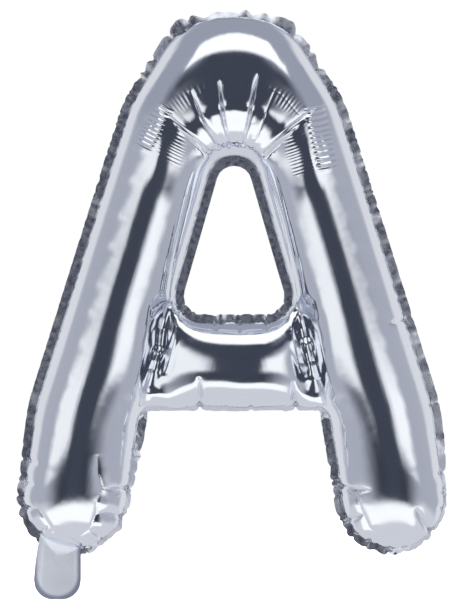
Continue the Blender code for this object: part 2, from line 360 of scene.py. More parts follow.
def smooth_bulge(corners, triangles, rim_count, valley_heights):
    """Height of the smooth film over the seam plane: a strip blows up to a half circle across its width."""
    a, b, c = (corners[triangles[:, index]] for index in range(3))
    area = abs((b - a)[:, 0] * (c - a)[:, 1] - (b - a)[:, 1] * (c - a)[:, 0]) / 2
    edges = np.stack([c - b, a - c, b - a], axis=1)
    stiffness = np.zeros((len(corners), len(corners)))
    load = np.zeros(len(corners))
    for row in range(3):
        np.add.at(load, triangles[:, row], area / 3)
        for column in range(3):
            value = (edges[:, row] * edges[:, column]).sum(axis=1) / (4 * area)
            np.add.at(stiffness, (triangles[:, row], triangles[:, column]), value)
    held = rim_count + len(valley_heights)
    free = np.arange(held, len(corners))
    squared = np.zeros(len(corners))
    squared[rim_count:held] = valley_heights ** 2 / 2
    load -= stiffness @ squared
    squared[free] = np.linalg.solve(stiffness[np.ix_(free, free)], load[free])
    height = np.sqrt(2 * squared) * leg_shape(*corners.T) * pillow_shape(*corners.T)
    flat = np.clip(1 - abs(corners[:, 0]) / 0.050, 0, 1) * (corners[:, 1] < -0.190)
    limit = BULGE_LIMIT + (CROSSBAR_LIMIT - BULGE_LIMIT) * np.clip(2.5 * flat, 0, 1)
    return height / (1 + (height / limit) ** BULGE_POWER) ** (1 / BULGE_POWER)


# Kinds of face in the film mesh
FRONT, BACK, OUTER_BAND, COUNTER_BAND = range(4)


def band_ring(rim, normals, cut_corners, first_rim, first_vertex):
    """One row of faces from the rim out to the cut edge of the weld."""
    count = len(rim)
    cut_edge = rounded_loop(cut_corners, SPACING / 4)[0]
    place = rim + normals * distance_to_loop(rim, cut_edge)[:, None]
    inner = np.arange(first_rim, first_rim + count)
    outer = np.arange(first_vertex, first_vertex + count)
    next_inner, next_outer = np.roll(inner, -1), np.roll(outer, -1)
    faces = np.concatenate([
        np.stack([inner, outer, next_inner], axis=1),
        np.stack([next_inner, outer, next_outer], axis=1),
    ])
    return np.stack([place[:, 0], np.zeros(count), place[:, 1]], axis=1), faces


def smooth_letter():
    """The smooth padded letter as one closed mesh of two sheets, with the two flat bands on its rim."""
    outer = rounded_loop(film_corners("outer"), SPACING)
    counter = rounded_loop(film_corners("counter"), SPACING)
    rim_count = len(outer[0]) + len(counter[0])
    valleys = valley_points(outer[0], counter[0])
    counts = [len(line) for line, _ in valleys]
    corners, triangles = letter_triangles(
        film_points(outer, counter), len(outer[0]), len(counter[0]), counts
    )
    valley_heights = np.concatenate([heights for _, heights in valleys])
    height = smooth_bulge(corners, triangles, rim_count, valley_heights)
    count = len(corners)
    front = np.stack([corners[:, 0], -height, corners[:, 1]], axis=1)
    back = (front * (1, -1, 1))[rim_count:]
    first = 2 * count - rim_count
    outer_edge, outer_faces = band_ring(*outer, outer_corners(), 0, first)
    counter_edge, counter_faces = band_ring(
        *counter, counter_corners(), len(outer[0]), first + len(outer[0])
    )
    places = np.concatenate([front, back, outer_edge, counter_edge])
    behind = np.concatenate([np.arange(rim_count), np.arange(count, 2 * count - rim_count)])
    faces = np.concatenate([triangles, behind[triangles][:, ::-1], outer_faces, counter_faces])
    kinds = np.repeat(
        (FRONT, BACK, OUTER_BAND, COUNTER_BAND),
        (len(triangles), len(triangles), len(outer_faces), len(counter_faces)),
    )
    return places, faces, kinds


# Subdivision

def sides_of(faces):
    """The mesh's edges, and for each face the edge numbers of its three sides."""
    sides = np.concatenate([faces[:, [0, 1]], faces[:, [1, 2]], faces[:, [2, 0]]])
    edges, numbers = np.unique(np.sort(sides, axis=1), axis=0, return_inverse=True)
    return edges, numbers.reshape(3, -1).T


def spread(index, values, count):
    """Sum of the values that go to each index."""
    return np.stack([np.bincount(index, values[:, axis], count) for axis in range(values.shape[1])], axis=1)


def subdivide(faces, kinds, fields):
    """Loop subdivision: the film stays one smooth closed surface, and the bands are halved in line."""
    edges, numbers = sides_of(faces)
    count = len(fields[0])
    film = kinds < OUTER_BAND
    film_faces, film_numbers = faces[film], numbers[film]
    on_film = np.zeros(len(edges), bool)
    on_film[film_numbers.ravel()] = True
    film_edges = edges[on_film]
    valence = np.bincount(film_edges.ravel(), minlength=count)
    weight = np.where(valence > 3, 3 / (8 * np.maximum(valence, 1)), 3 / 16)[:, None]
    smoothed = []
    for field in fields:
        opposite = spread(film_numbers.T.ravel(), field[film_faces[:, [2, 0, 1]].T.ravel()], len(edges))
        ends = field[edges[:, 0]] + field[edges[:, 1]]
        middle = np.where(on_film[:, None], ends * 3 / 8 + opposite / 8, ends / 2)
        around = spread(film_edges[:, 0], field[film_edges[:, 1]], count)
        around += spread(film_edges[:, 1], field[film_edges[:, 0]], count)
        kept = field * (1 - valence[:, None] * weight) + around * weight
        kept[valence == 0] = field[valence == 0]
        smoothed.append(np.concatenate([kept, middle]))
    a, b, c = faces.T
    ab, bc, ca = (numbers + count).T
    quarters = [(a, ab, ca), (ab, b, bc), (ca, bc, c), (ab, bc, ca)]
    return np.concatenate([np.stack(quarter, axis=1) for quarter in quarters]), np.tile(kinds, 4), smoothed


# Folds of the film

# Sharp folds: lines of pixels from the faint end to the deep end, the depth there, and the half width
FAN_FOLDS = (
    (((161, 110), (180, 128), (209, 153)), 0.0015, 0.0007),
    (((191, 94), (200, 116), (219, 150)), 0.0019, 0.0008),
    (((219, 83), (222, 108), (229, 148)), 0.0022, 0.0009),
    (((258, 77), (253, 100), (243, 147)), 0.0022, 0.0009),
    (((275, 92), (265, 117), (256, 143)), 0.0004, 0.0005),
    (((317, 108), (290, 129), (263, 155)), 0.0016, 0.0007),
    (((184, 118), (197, 100), (215, 89), (236, 84), (258, 87), (280, 98), (300, 120)), 0.00020, 0.0007),
)
VALLEY_FOLDS = (
    (((169, 306), (163, 328), (160, 352), (153, 374), (144, 404)), 0.0020, 0.0026),
    (((296, 306), (302, 328), (307, 352), (313, 376), (322, 404)), 0.0020, 0.0026),
)
COUNTER_FOLDS = (
    (((199, 158), (190, 190), (181, 230), (174, 266), (168, 314)), 0.0010, 0.0017),
    (((190, 166), (183, 194), (174, 236), (167, 268), (158, 318)), 0.0004, 0.0010),
    (((263, 158), (272, 190), (283, 230), (290, 264), (298, 312)), 0.0010, 0.0017),
    (((271, 160), (280, 194), (290, 236), (298, 268), (307, 316)), 0.0004, 0.0010),
)
EDGE_FOLDS = (
    (((199, 376), (200, 394), (200, 420)), 0.0034, 0.0012),
    (((251, 400), (251, 422)), 0.0014, 0.0009),
    (((293, 380), (295, 396), (297, 422)), 0.0036, 0.0012),
    (((226, 404), (226, 420)), 0.0006, 0.0010),
    (((216, 332), (214, 319)), 0.0010, 0.0010),
    (((240, 334), (240, 319)), 0.0012, 0.0010),
    (((266, 332), (267, 319)), 0.0010, 0.0010),
    (((99, 452), (100, 472), (104, 488)), 0.0012, 0.0026),
    (((104, 488), (98, 500), (98, 512), (90, 528), (74, 540)), 0.0010, 0.0018),
    (((104, 488), (134, 488)), 0.0026, 0.0013),
    (((99, 511), (108, 513), (124, 517)), 0.0024, 0.0013),
    (((88, 528), (98, 534), (106, 544)), 0.0016, 0.0012),
    (((66, 534), (76, 540), (88, 556)), 0.0012, 0.0010),
    (((34, 500), (44, 514), (54, 530)), 0.0008, 0.0018),
    (((40, 462), (14, 458)), 0.0014, 0.0013),
    (((36, 483), (8, 481)), 0.0014, 0.0013),
    (((42, 508), (12, 506)), 0.0018, 0.0013),
    (((50, 524), (32, 540)), 0.0016, 0.0012),
    (((370, 488), (352, 488), (330, 484)), 0.0020, 0.0011),
    (((356, 490), (360, 508), (368, 526), (384, 539), (404, 543), (420, 534)), 0.0010, 0.0020),
    (((364, 512), (350, 519), (338, 524)), 0.0020, 0.0013),
    (((372, 533), (366, 546), (360, 556)), 0.0020, 0.0013),
    (((414, 506), (424, 522), (438, 540)), 0.0030, 0.0016),
    (((432, 472), (456, 474)), 0.0016, 0.0012),
    (((438, 492), (458, 493)), 0.0018, 0.0012),
    (((436, 507), (456, 512)), 0.0016, 0.0012),
    (((390, 542), (388, 560)), 0.0014, 0.0012),
    (((32, 418), (14, 421)), 0.0012, 0.0013),
    (((386, 322), (404, 319)), 0.0014, 0.0013),
    (((427, 404), (446, 402)), 0.0012, 0.0013),
    (((130, 448), (148, 455)), 0.0012, 0.0012),
    (((334, 450), (314, 453)), 0.0012, 0.0012),
)

# Crumpled places: centre pixel, half sizes in pixels, and height of the facets
CRUMPLES = (
    ((178, 308), (9, 12), 0.00022),
    ((288, 308), (9, 12), 0.00022),
    ((358, 494), (5, 7), 0.00012),
    ((234, 149), (26, 5), 0.00010),
    ((205, 400), (12, 6), 0.00010),
    ((285, 402), (12, 6), 0.00010),
)
CRUMPLE_PITCH = 0.0042
CRUMPLE_WAVES = 6


def film_normals(places, faces, kinds):
    """Outward normals of the closed film, zero on the cut edges of the bands."""
    a, b, c = faces[kinds < OUTER_BAND].T
    normal = np.cross(places[b] - places[a], places[c] - places[a])
    total = spread(np.concatenate([a, b, c]), np.concatenate([normal, normal, normal]), len(places))
    return total / np.maximum(np.linalg.norm(total, axis=1, keepdims=True), 1e-12)


def with_folds(places, normals, rim):
    """Press sharp folds into the film: each deepens from its faint end towards the weld, which follows."""
    plane = np.where(rim["band"][:, None], rim["place"], places[:, [0, 2]])
    normals = np.where(rim["band"][:, None], rim["outward"], normals)
    pressed = PUCKER_DEPTH * rim["pucker"] * (1 - rim["tent"]) ** 3 * np.exp(-rim["away"] / PUCKER_REACH)
    for pixels, depth, half_width in VALLEY_FOLDS:
        away = path_position(plane, path_of(pixels))[0]
        pressed = np.maximum(pressed, depth / (1 + (away / half_width) ** 2))
    for number, (pixels, depth, half_width) in enumerate(FAN_FOLDS + COUNTER_FOLDS + EDGE_FOLDS):
        away, along = path_position(plane, path_of(pixels))
        inner = along if number < len(FAN_FOLDS) else 0.5
        width = half_width * (1.4 - 0.8 * inner)
        profile = np.exp(-away / width) * np.clip(along * 2.5, 0, 1) ** 0.7
        pressed = np.maximum(pressed, depth * profile * (1.2 - 0.5 * inner))
    return places - normals * pressed[:, None]


# Soft ridges: a line of pixels, the height and the half width
RIDGES = (
    (((182, 136), (209, 113), (234, 106), (259, 112), (288, 136)), 0.0026, 0.0080),
    (((102, 501), (124, 503)), 0.0008, 0.0050),
    (((94, 522), (112, 528)), 0.0008, 0.0045),
    (((30, 495), (16, 494)), 0.0008, 0.0050),
    (((30, 470), (16, 469)), 0.0008, 0.0045),
    (((36, 517), (22, 519)), 0.0008, 0.0040),
    (((346, 503), (358, 501)), 0.0008, 0.0050),
    (((354, 535), (368, 527)), 0.0008, 0.0045),
    (((440, 484), (450, 484)), 0.0008, 0.0045),
    (((440, 500), (450, 501)), 0.0008, 0.0035),
    (((438, 522), (448, 526)), 0.0008, 0.0045),
    (((404, 550), (424, 544)), 0.0006, 0.0045),
    (((174, 402), (176, 418)), 0.0020, 0.0090),
    (((246, 404), (246, 420)), 0.0026, 0.0150),
    (((310, 406), (312, 422)), 0.0028, 0.0050),
    (((179, 314), (176, 340), (166, 372)), 0.0008, 0.0016),
    (((289, 314), (292, 340), (302, 372)), 0.0008, 0.0016),
    (((170, 316), (167, 340), (159, 372)), 0.0005, 0.0013),
    (((297, 316), (300, 340), (309, 372)), 0.0005, 0.0013),
    (((150, 322), (146, 350), (136, 386)), 0.0003, 0.0013),
    (((317, 322), (321, 350), (331, 386)), 0.0003, 0.0013),
)
# Places with a finer mesh round the valleys: centre and half sizes in pixels
FINE_PLACES = (
    ((158, 348), (22, 44)),
    ((309, 348), (22, 44)),
)


def with_ridges(places, normals):
    plane = places[:, [0, 2]]
    raised = np.zeros(len(places))
    for pixels, height, half_width in RIDGES:
        away, along = path_position(plane, path_of(pixels))
        taper = np.sin(math.pi * np.clip(along, 0.1, 0.9)) ** 0.7
        raised += height * np.exp(-(away / half_width) ** 2) * taper
    return places + normals * raised[:, None]


def near_folds(places, grade):
    """Which vertices need a finer mesh: near any fold at first, then only in the fan and the combs."""
    plane = places[:, [0, 2]]
    near = comb_height(plane) + hatch_height(plane) > 0
    if grade == 0:
        near |= crumple_height(plane) > 0
        for centre, half_sizes in FINE_PLACES:
            offset = (plane - pixel(*centre)) / (np.array(half_sizes) * PIXEL_SIZE)
            near |= (offset * offset).sum(axis=1) < 1
    folds = FAN_FOLDS if grade else FAN_FOLDS + VALLEY_FOLDS + COUNTER_FOLDS + EDGE_FOLDS
    for pixels, _, _ in folds:
        near |= path_position(plane, path_of(pixels))[0] < FOLD_REACHES[grade]
    return near


def crumple_height(plane):
    height = np.zeros(len(plane))
    for centre, half_sizes, top in CRUMPLES:
        offset = (plane - pixel(*centre)) / (np.array(half_sizes) * PIXEL_SIZE)
        height = np.maximum(height, top * np.clip(1.25 - (offset * offset).sum(axis=1), 0, 1))
    return height


def crumple_waves(plane):
    """Folded waves at several angles, whose sum looks like film that was crushed and blown up again."""
    draws = np.random.default_rng(31)
    total = np.zeros(len(plane))
    for _ in range(CRUMPLE_WAVES):
        angle = draws.uniform(0, math.pi)
        pitch = CRUMPLE_PITCH * draws.uniform(0.6, 1.7)
        phase, bend = draws.uniform(0, 1, 2)
        across = plane @ (math.cos(angle), math.sin(angle)) / pitch
        along = plane @ (-math.sin(angle), math.cos(angle)) / pitch
        place = across + phase + 0.35 * np.sin(0.9 * along + 6 * bend)
        total += (abs((place % 1) * 2 - 1) - 0.5) * pitch / CRUMPLE_PITCH
    return total


# Combs of fine pleats on the shoulders: centre and end of the run along the leg, pitch, and reach across
COMBS = (
    ((165, 113), (146, 148), 0.00290, (-8, 9), 0.00048),
    ((177, 131), (163, 158), 0.00200, (-6, 22), 0.00009),
    ((313, 112), (325, 168), 0.00335, (-9, 10), 0.00054),
    ((294, 138), (306, 172), 0.00200, (-14, 8), 0.00009),
)


def comb_height(plane):
    """Round ridges side by side along the leg, which fade at the ends of the comb and across it."""
    total = np.zeros(len(plane))
    for start, end, pitch, reach, top in COMBS:
        first, last = pixel(*start), pixel(*end)
        length = np.linalg.norm(last - first)
        along_axis = (last - first) / length
        across_axis = np.array([-along_axis[1], along_axis[0]])
        offset = plane - first
        along = offset @ along_axis
        across = offset @ across_axis * (1 if along_axis @ (0, -1) > 0 else -1)
        low, high = reach[0] * PIXEL_SIZE, reach[1] * PIXEL_SIZE
        middle, half = (low + high) / 2, (high - low) / 2
        inside = np.clip(1.3 - abs((across - middle) / half) ** 2, 0, 1)
        inside = inside * np.clip((along + pitch) / pitch, 0, 1)
        inside = inside * np.clip((length + pitch - along) / pitch, 0, 1)
        bend = 0.16 * np.sin(along / pitch * 0.9 + 1.0) + 0.10 * (across / half) ** 2
        total += top * inside * np.sin(math.pi * (along / pitch + bend)) ** 2
    return total


# Each shoulder's tube runs straight up to the outermost fold of the fan
SHOULDER_FOLDS = (((161, 110), (209, 153)), ((317, 108), (263, 155)))
SHOULDER_AXIS = (((148, 200), (167, 135)), ((322, 200), (302, 135)))
SHOULDER_RADIUS_TOP = 0.0335
SHOULDER_FADE = (0.012, 0.045)
SHOULDER_STEP = 0.0030
SHOULDER_SIDE = 0.010
SHOULDER_CLEARANCE = 0.014
SHOULDER_END = -0.1400
SHOULDER_RUN = 0.0250
SHOULDER_INSIDE = 0.0090


def with_shoulders(base):
    plane = base[:, [0, 2]]
    rim = RIM_PLACES[nearest_rim(base)]
    clear = np.clip(np.linalg.norm(plane - rim, axis=1) / SHOULDER_CLEARANCE - 0.3, 0, 1)
    shaped = base.copy()
    for fold, axis in zip(SHOULDER_FOLDS, SHOULDER_AXIS):
        outer, inner = path_of(fold)
        low, high = path_of(axis)
        side = 1 if outer[0] < 0 else -1
        line = unit(inner - outer)
        below = side * ((plane - outer) @ (line[1], -line[0]))
        run = unit(high - low)
        inward = side * ((plane - low) @ (run[1], -run[0]))
        tube = np.sqrt(np.maximum(SHOULDER_RADIUS_TOP ** 2 - np.maximum(inward, 0) ** 2, FLAT))
        start, end = SHOULDER_FADE
        weight = np.clip(below / SHOULDER_STEP, 0, 1) * np.clip((end - below) / (end - start), 0, 1)
        weight = weight * np.clip(1 + inward / SHOULDER_SIDE, 0, 1) * clear
        weight = weight * np.clip((plane[:, 1] - SHOULDER_END) / SHOULDER_RUN, 0, 1)
        weight = weight * np.clip(side * -plane[:, 0] / SHOULDER_INSIDE - 1, 0, 1)
        weight = weight * weight * (3 - 2 * weight)
        shaped[:, 1] += weight * (np.sign(base[:, 1]) * tube - base[:, 1])
    return shaped


# Fine radial pleats in the dark part of the fan, round the middle of the counter's top
HATCH_CENTRE = (234, 184)
HATCH_RADII = (84, 104)
HATCH_FADE = 7
HATCH_PITCH = 0.046
HATCH_TOP = 0.00010
HATCH_REACH = 0.95


def hatch_height(plane):
    spoke = plane - pixel(*HATCH_CENTRE)
    radius = np.linalg.norm(spoke, axis=1) / PIXEL_SIZE
    angle = np.arctan2(spoke[:, 0], spoke[:, 1])
    inside = np.clip((radius - HATCH_RADII[0]) / HATCH_FADE, 0, 1)
    inside = inside * np.clip((HATCH_RADII[1] - radius) / HATCH_FADE, 0, 1)
    inside = inside * np.clip((HATCH_REACH - abs(angle)) / 0.15, 0, 1)
    place = angle / HATCH_PITCH + 0.5 * np.sin(9 * angle)
    strength = 0.6 + 0.4 * np.sin(13 * angle + 1.0)
    return HATCH_TOP * strength * inside * np.sin(math.pi * place) ** 2


def designed_shape(base, faces, kinds):
    """The smooth letter with its valleys, folds, combs and crumpled places."""
    shaped = with_shoulders(base)
    ridged = with_ridges(shaped, film_normals(shaped, faces, kinds))
    folded = with_folds(ridged, film_normals(ridged, faces, kinds), rim_terms(base))
    plane = base[:, [0, 2]]
    crumples = crumple_height(plane) * crumple_waves(plane) * np.where(base[:, 1] > 0, -1.0, 1.0)
    crumples += comb_height(plane) + hatch_height(plane)
    return folded + film_normals(folded, faces, kinds) * crumples[:, None]


# Spare film

RIM_STEP = 0.0006
FAN_CENTRE = np.array([0.0, -0.112])
TAIL_ROOT = np.array([-0.1130, -0.3440])
TAIL_ROOT_REACH = 0.0170


def lobe_pitch(places):
    """Distance between the notches of the weld's puckered edge."""
    z = places[:, 1]
    top = np.clip((z + 0.045) / 0.010, 0, 1)
    shoulder = np.clip((z + 0.150) / 0.020, 0, 1)
    foot = np.clip((-0.270 - z) / 0.020, 0, 1)
    return 0.0085 - 0.0027 * shoulder + 0.0082 * top + 0.0015 * foot


def rim_lookup():
    """A search tree of close points on both rims, with their tangents and their count of lobes round it."""
    places = []
    tangents = []
    lobes = []
    for loop in ("outer", "counter"):
        line = rounded_loop(film_corners(loop), RIM_STEP)[0]
        places.append(line)
        tangents.append(unit(np.roll(line, -1, axis=0) - np.roll(line, 1, axis=0)))
        count = np.cumsum(RIM_STEP / lobe_pitch(line))
        lobes.append(count + 0.22 * np.sin(2.1 * count) + 0.15 * np.sin(5.3 * count))
    outer_count = len(places[0])
    places, tangents, lobes = (np.concatenate(parts) for parts in (places, tangents, lobes))
    tree = kdtree.KDTree(len(places))
    for number, (x, z) in enumerate(places):
        tree.insert((x, 0.0, z), number)
    tree.balance()
    return tree, places, tangents, lobes, outer_count


RIM_TREE, RIM_PLACES, RIM_TANGENTS, RIM_LOBES, OUTER_RIM_COUNT = rim_lookup()


def nearest_rim(places):
    flat = places * (1, 0, 1)
    return np.array([RIM_TREE.find(point)[1] for point in flat])


def spare_film(places, number):
    """Spare length at each vertex, as pairs of a share and its direction: along the rim, round the fan."""
    plane = places[:, [0, 2]]
    away = np.hypot(np.linalg.norm(plane - RIM_PLACES[number], axis=1), places[:, 1])
    tangent = RIM_TANGENTS[number]
    along = np.stack([tangent[:, 0], np.zeros(len(places)), tangent[:, 1]], axis=1)
    x, z = RIM_PLACES[number].T
    on_counter = number >= OUTER_RIM_COUNT
    foot = np.clip((-0.285 - z) / 0.030, 0, 1)
    top = np.clip((z + 0.070) / 0.030, 0, 1)
    crossbar = (abs(x) < 0.052) & (z < -0.19)
    share = 0.003 + 0.035 * foot + 0.010 * top + 0.035 * crossbar
    reach = 0.0060 + 0.005 * foot
    rim = np.where(on_counter & ~crossbar, 0.004, share) * np.exp(-(away / reach) ** 2)
    rim *= np.clip(np.linalg.norm(plane - TAIL_ROOT, axis=1) / TAIL_ROOT_REACH - 0.5, 0, 1)
    spoke = plane - FAN_CENTRE
    radius = np.linalg.norm(spoke, axis=1)
    angle = np.arctan2(spoke[:, 0], spoke[:, 1])
    fan = 0.012 * np.clip((0.050 - radius) / 0.020, 0, 1) * np.clip((1.25 - abs(angle)) / 0.25, 0, 1)
    spoke = spoke / np.maximum(radius, 1e-6)[:, None]
    round_fan = np.stack([spoke[:, 1], np.zeros(len(places)), -spoke[:, 0]], axis=1)
    return (rim, along), (fan, round_fan)


# Puckers of the film at the notches between the weld's lobes
PUCKER_DEPTH = 0.0016
PUCKER_REACH = 0.0045


def rim_terms(base):
    """Where each vertex lies along the weld: the nearest rim place, the lobe, and shares of the zones."""
    number = nearest_rim(base)
    plane = base[:, [0, 2]]
    place = RIM_PLACES[number]
    tangent = RIM_TANGENTS[number]
    lobe = np.floor(RIM_LOBES[number]).astype(int)
    share = RIM_LOBES[number] - lobe
    in_plane = np.linalg.norm(plane - place, axis=1)
    inner = number >= OUTER_RIM_COUNT
    zones = lobe_zones(place)
    calm = np.clip(np.linalg.norm(plane - TAIL_ROOT, axis=1) / TAIL_ROOT_REACH - 0.6, 0, 1)
    return {
        "place": place,
        "outward": np.stack([tangent[:, 1], np.zeros(len(base)), -tangent[:, 0]], axis=1),
        "lobe": lobe,
        "share": share,
        "tent": 1 - abs(2 * share - 1),
        "away": np.hypot(in_plane, base[:, 1]),
        "band": (abs(base[:, 1]) < FLAT) & (in_plane > RIM_STEP),
        "inner": inner,
        "zones": zones,
        "calm": calm,
        "pucker": np.where(inner, 0, 0.9 * zones[0] + 0.35 * zones[1] + 0.12 * zones[2] + zones[3]) * calm,
    }


# Lobes of the weld's cut edge: how far they lean, and how deep the notches between them are
LOBE_LEANS = (
    ("top", 0.22, 0.60),
    ("shoulder", 0.13, 0.14),
    ("leg", 0.10, 0.04),
    ("foot", 0.16, 0.32),
)


# How far the weld leans backwards on the top, on sides that face right, under the crossbar, and on the feet
LOBE_BACK = (0.50, 0.10, 0.90, 0.85)
BENT_CORNER = (176, 34)
BENT_REACH = 0.0190
TINY = 1e-9


def lobe_zones(places):
    """Share of each zone of the outer weld at each place: top, shoulder, leg and foot."""
    z = places[:, 1]
    top = np.clip((z + 0.052) / 0.012, 0, 1)
    shoulder = np.clip((z + 0.150) / 0.030, 0, 1) * (1 - top)
    foot = np.clip((-0.275 - z) / 0.025, 0, 1)
    return top, shoulder, 1 - top - shoulder - foot, foot


def with_lobes(places, base, rim):
    """Lean the lobes of the weld to and fro, and cut the notches between them."""
    outward = base[:, [0, 2]] - rim["place"]
    width = np.linalg.norm(outward, axis=1)
    zones, inner, tent, lobe = rim["zones"], rim["inner"], rim["tent"], rim["lobe"]
    base_edge = inner & (rim["place"][:, 1] < -0.185) & (abs(rim["place"][:, 0]) < 0.036)
    lean = sum(zone * row[1] for zone, row in zip(zones, LOBE_LEANS))
    notch = sum(zone * row[2] for zone, row in zip(zones, LOBE_LEANS))
    lean = np.where(inner, np.where(base_edge, 0.30, 0.05), lean)
    notch = np.where(inner, np.where(base_edge, 0.20, 0.0), notch) * rim["calm"]
    direction = unit(outward + TINY)
    right = np.clip(1.6 * direction[:, 0], 0, 1) * (1 - zones[0]) * ~inner
    crotch = np.clip(-1.5 * direction[:, 1] - 0.3, 0, 1) * (rim["place"][:, 1] > -0.28) * ~inner
    back = LOBE_BACK[0] * zones[0] + LOBE_BACK[1] * right + LOBE_BACK[2] * crotch
    corner = np.linalg.norm(rim["place"] - pixel(*BENT_CORNER), axis=1) / BENT_REACH
    draws = np.random.default_rng(11)
    of_lobe = draws.uniform(-1.2, 1.2, lobe.max() + 2)
    of_notch = draws.uniform(-0.6, 0.6, lobe.max() + 2)
    between = of_notch[lobe] * (1 - rim["share"]) + of_notch[lobe + 1] * rim["share"]
    bent = np.exp(-corner ** 2)
    back = back * (1 - bent) + zones[3] * LOBE_BACK[3] * np.clip(1.3 * direction[:, 0] + 0.3, 0, 1)
    lean = lean + 0.35 * bent
    angle = (lean * (of_lobe[lobe] * tent + between * (1 - tent)) + back) * rim["calm"]
    reach = (width * (1 - notch * (1 - tent) ** 2))[:, None]
    flat = direction * np.cos(angle)[:, None]
    turned = np.stack([flat[:, 0], np.sin(angle), flat[:, 1]], axis=1)
    straight = np.stack([outward[:, 0], np.zeros(len(base)), outward[:, 1]], axis=1)
    moved = places.copy()
    moved[rim["band"]] += (reach * turned - straight)[rim["band"]]
    return moved


def rest_lengths(pairs, smooth, spare):
    """Length of the flat film between two vertices: the smooth shape's own, plus what is spare."""
    step = smooth[pairs[:, 1]] - smooth[pairs[:, 0]]
    squared = (step * step).sum(axis=1)
    for share, direction in spare:
        part = (share[pairs[:, 0]] + share[pairs[:, 1]]) / 2
        line = direction[pairs[:, 0]] + direction[pairs[:, 1]]
        line = line / np.maximum(np.linalg.norm(line, axis=1), 1e-9)[:, None]
        squared = squared + ((1 + part) ** 2 - 1) * (step * line).sum(axis=1) ** 2
    return np.sqrt(squared)


# Simulation

def separate_groups(pairs, count):
    """Groups of pairs in which no vertex comes twice, so that a group can be solved at once."""
    used = [0] * count
    numbers = []
    for first, second in pairs.tolist():
        free = ~(used[first] | used[second])
        number = (free & -free).bit_length() - 1
        used[first] |= 1 << number
        used[second] |= 1 << number
        numbers.append(number)
    numbers = np.array(numbers)
    return [np.flatnonzero(numbers == number) for number in range(numbers.max() + 1)]


def facing_corners(faces):
    """The two far corners at each edge that has exactly two faces."""
    half = np.concatenate([faces[:, [0, 1, 2]], faces[:, [1, 2, 0]], faces[:, [2, 0, 1]]])
    key = np.sort(half[:, :2], axis=1)
    order = np.lexsort((key[:, 1], key[:, 0]))
    key, far = key[order], half[order, 2]
    same = np.concatenate([(key[1:] == key[:-1]).all(axis=1), [False]])
    before = np.concatenate([[False], same[:-1]])
    after = np.concatenate([same[1:], [False]])
    first = np.flatnonzero(same & ~before & ~after)
    return np.stack([far[first], far[first + 1]], axis=1)


def pair_groups(pairs, lengths, count):
    return [(pairs[group, 0], pairs[group, 1], lengths[group]) for group in separate_groups(pairs, count)]


def pull(places, groups, stretch_share, squeeze_share):
    """Move the ends of every pair towards their rest length."""
    for first, second, rest in groups:
        step = places[second] - places[first]
        length = np.sqrt(np.einsum("ij,ij->i", step, step))
        excess = (length - rest) / length
        share = 0.5 * np.where(excess > 0, stretch_share, squeeze_share) * excess
        step *= share[:, None]
        places[first] += step
        places[second] -= step


def blow_up(places, smooth, faces, kinds, spare, steps):
    """Let the film find its shape under pressure, with its flat lengths kept."""
    count = len(places)
    edges = sides_of(faces)[0]
    facing = facing_corners(faces)
    edge_groups = pair_groups(edges, rest_lengths(edges, smooth, spare), count)
    on_band = (abs(smooth[facing, 1]) < FLAT).all(axis=1)
    film_facing, band_facing = facing[~on_band], facing[on_band]
    film_groups = pair_groups(film_facing, rest_lengths(film_facing, smooth, ()), count)
    band_groups = pair_groups(band_facing, rest_lengths(band_facing, smooth, ()), count)
    loose = np.clip(sum(share for share, _ in spare) / FREE_AT, 0, 1)[:, None]
    guide = CALM_GUIDE * (1 - loose) + FREE_GUIDE * loose
    guide = np.where(abs(smooth[:, 1:2]) < FLAT, BAND_GUIDE, guide)
    a, b, c = faces[kinds < OUTER_BAND].T
    owners = np.concatenate([a, b, c])
    speed = np.zeros_like(places)
    for _ in range(steps):
        before = places.copy()
        normal = np.cross(places[b] - places[a], places[c] - places[a])
        push = spread(owners, np.concatenate([normal, normal, normal]), count)
        speed += PRESSURE * push / (np.linalg.norm(push, axis=1, keepdims=True) + 1e-12)
        places += speed
        pull(places, edge_groups, 1.0, COMPRESSION_SHARE)
        pull(places, film_groups, 0.0, BEND_SHARE)
        pull(places, band_groups, 0.0, BAND_BEND_SHARE)
        places += guide * (smooth - places)
        speed = (places - before) * DAMPING
    return places


